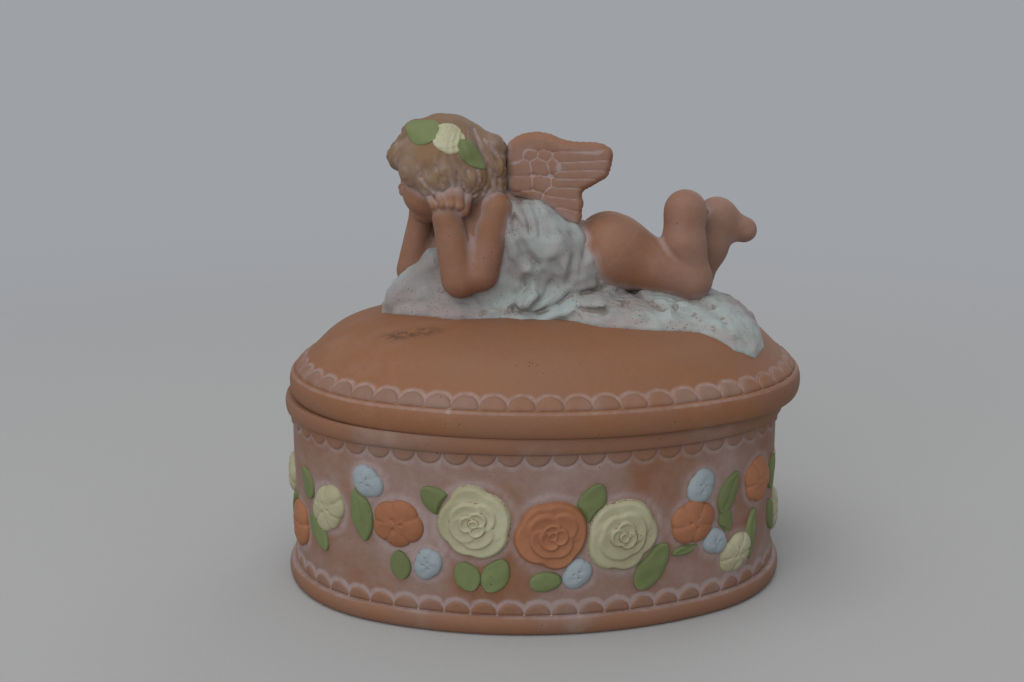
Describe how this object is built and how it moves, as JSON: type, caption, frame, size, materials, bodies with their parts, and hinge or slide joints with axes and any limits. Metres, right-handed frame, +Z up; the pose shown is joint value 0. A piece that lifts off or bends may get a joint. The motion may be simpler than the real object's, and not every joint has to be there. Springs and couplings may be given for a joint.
{
  "type": "lidded trinket box",
  "caption": "Oval terracotta trinket box with a domed lift-off lid, a reclining winged cherub on a drapery as its finial, scalloped borders and a painted flower garland in relief.",
  "frame": {"origin": "middle of the box's underside", "axes": "+Z up, +X along the oval towards the cherub's feet, -Y to the front"},
  "size_m": [0.1316, 0.0962, 0.1176],
  "materials": {
    "terracotta": "matte unglazed clay with a rubbed pinkish-white wash in the hollows",
    "bare_clay": "matte warm clay, lightly washed in the creases",
    "cream_paint": "matte hand-brushed cream paint over clay",
    "orange_paint": "matte hand-brushed orange paint over clay",
    "green_paint": "matte hand-brushed green paint over clay",
    "blue_paint": "matte hand-brushed pale blue paint over clay",
    "drapery_wash": "matte pale blue wash, rubbed back to pink clay"
  },
  "bodies": {
    "box": {"box_body": "terracotta", "foot_scallops": "terracotta", "rim_scallops": "terracotta", "cream_roses": "cream_paint", "orange_roses": "orange_paint", "cream_blossoms": "cream_paint", "orange_blossoms": "orange_paint", "blue_blossoms": "blue_paint", "garland_leaves": "green_paint"},
    "lid": {"lid_shell": "terracotta", "lid_scallops": "terracotta", "cherub_torso": "bare_clay", "cherub_head": "bare_clay", "cherub_hair": "bare_clay", "left_arm": "bare_clay", "right_arm": "bare_clay", "left_leg": "bare_clay", "right_leg": "bare_clay", "left_wing": "bare_clay", "right_wing": "bare_clay", "drapery": "drapery_wash", "hair_rose": "cream_paint", "hair_leaves": "green_paint"}
  },
  "joints": [
    {"name": "lid_lift", "type": "slide", "parent": "box", "child": "lid", "axis": [0, 0, 1], "range_m": [0, 0.045]}
  ]
}
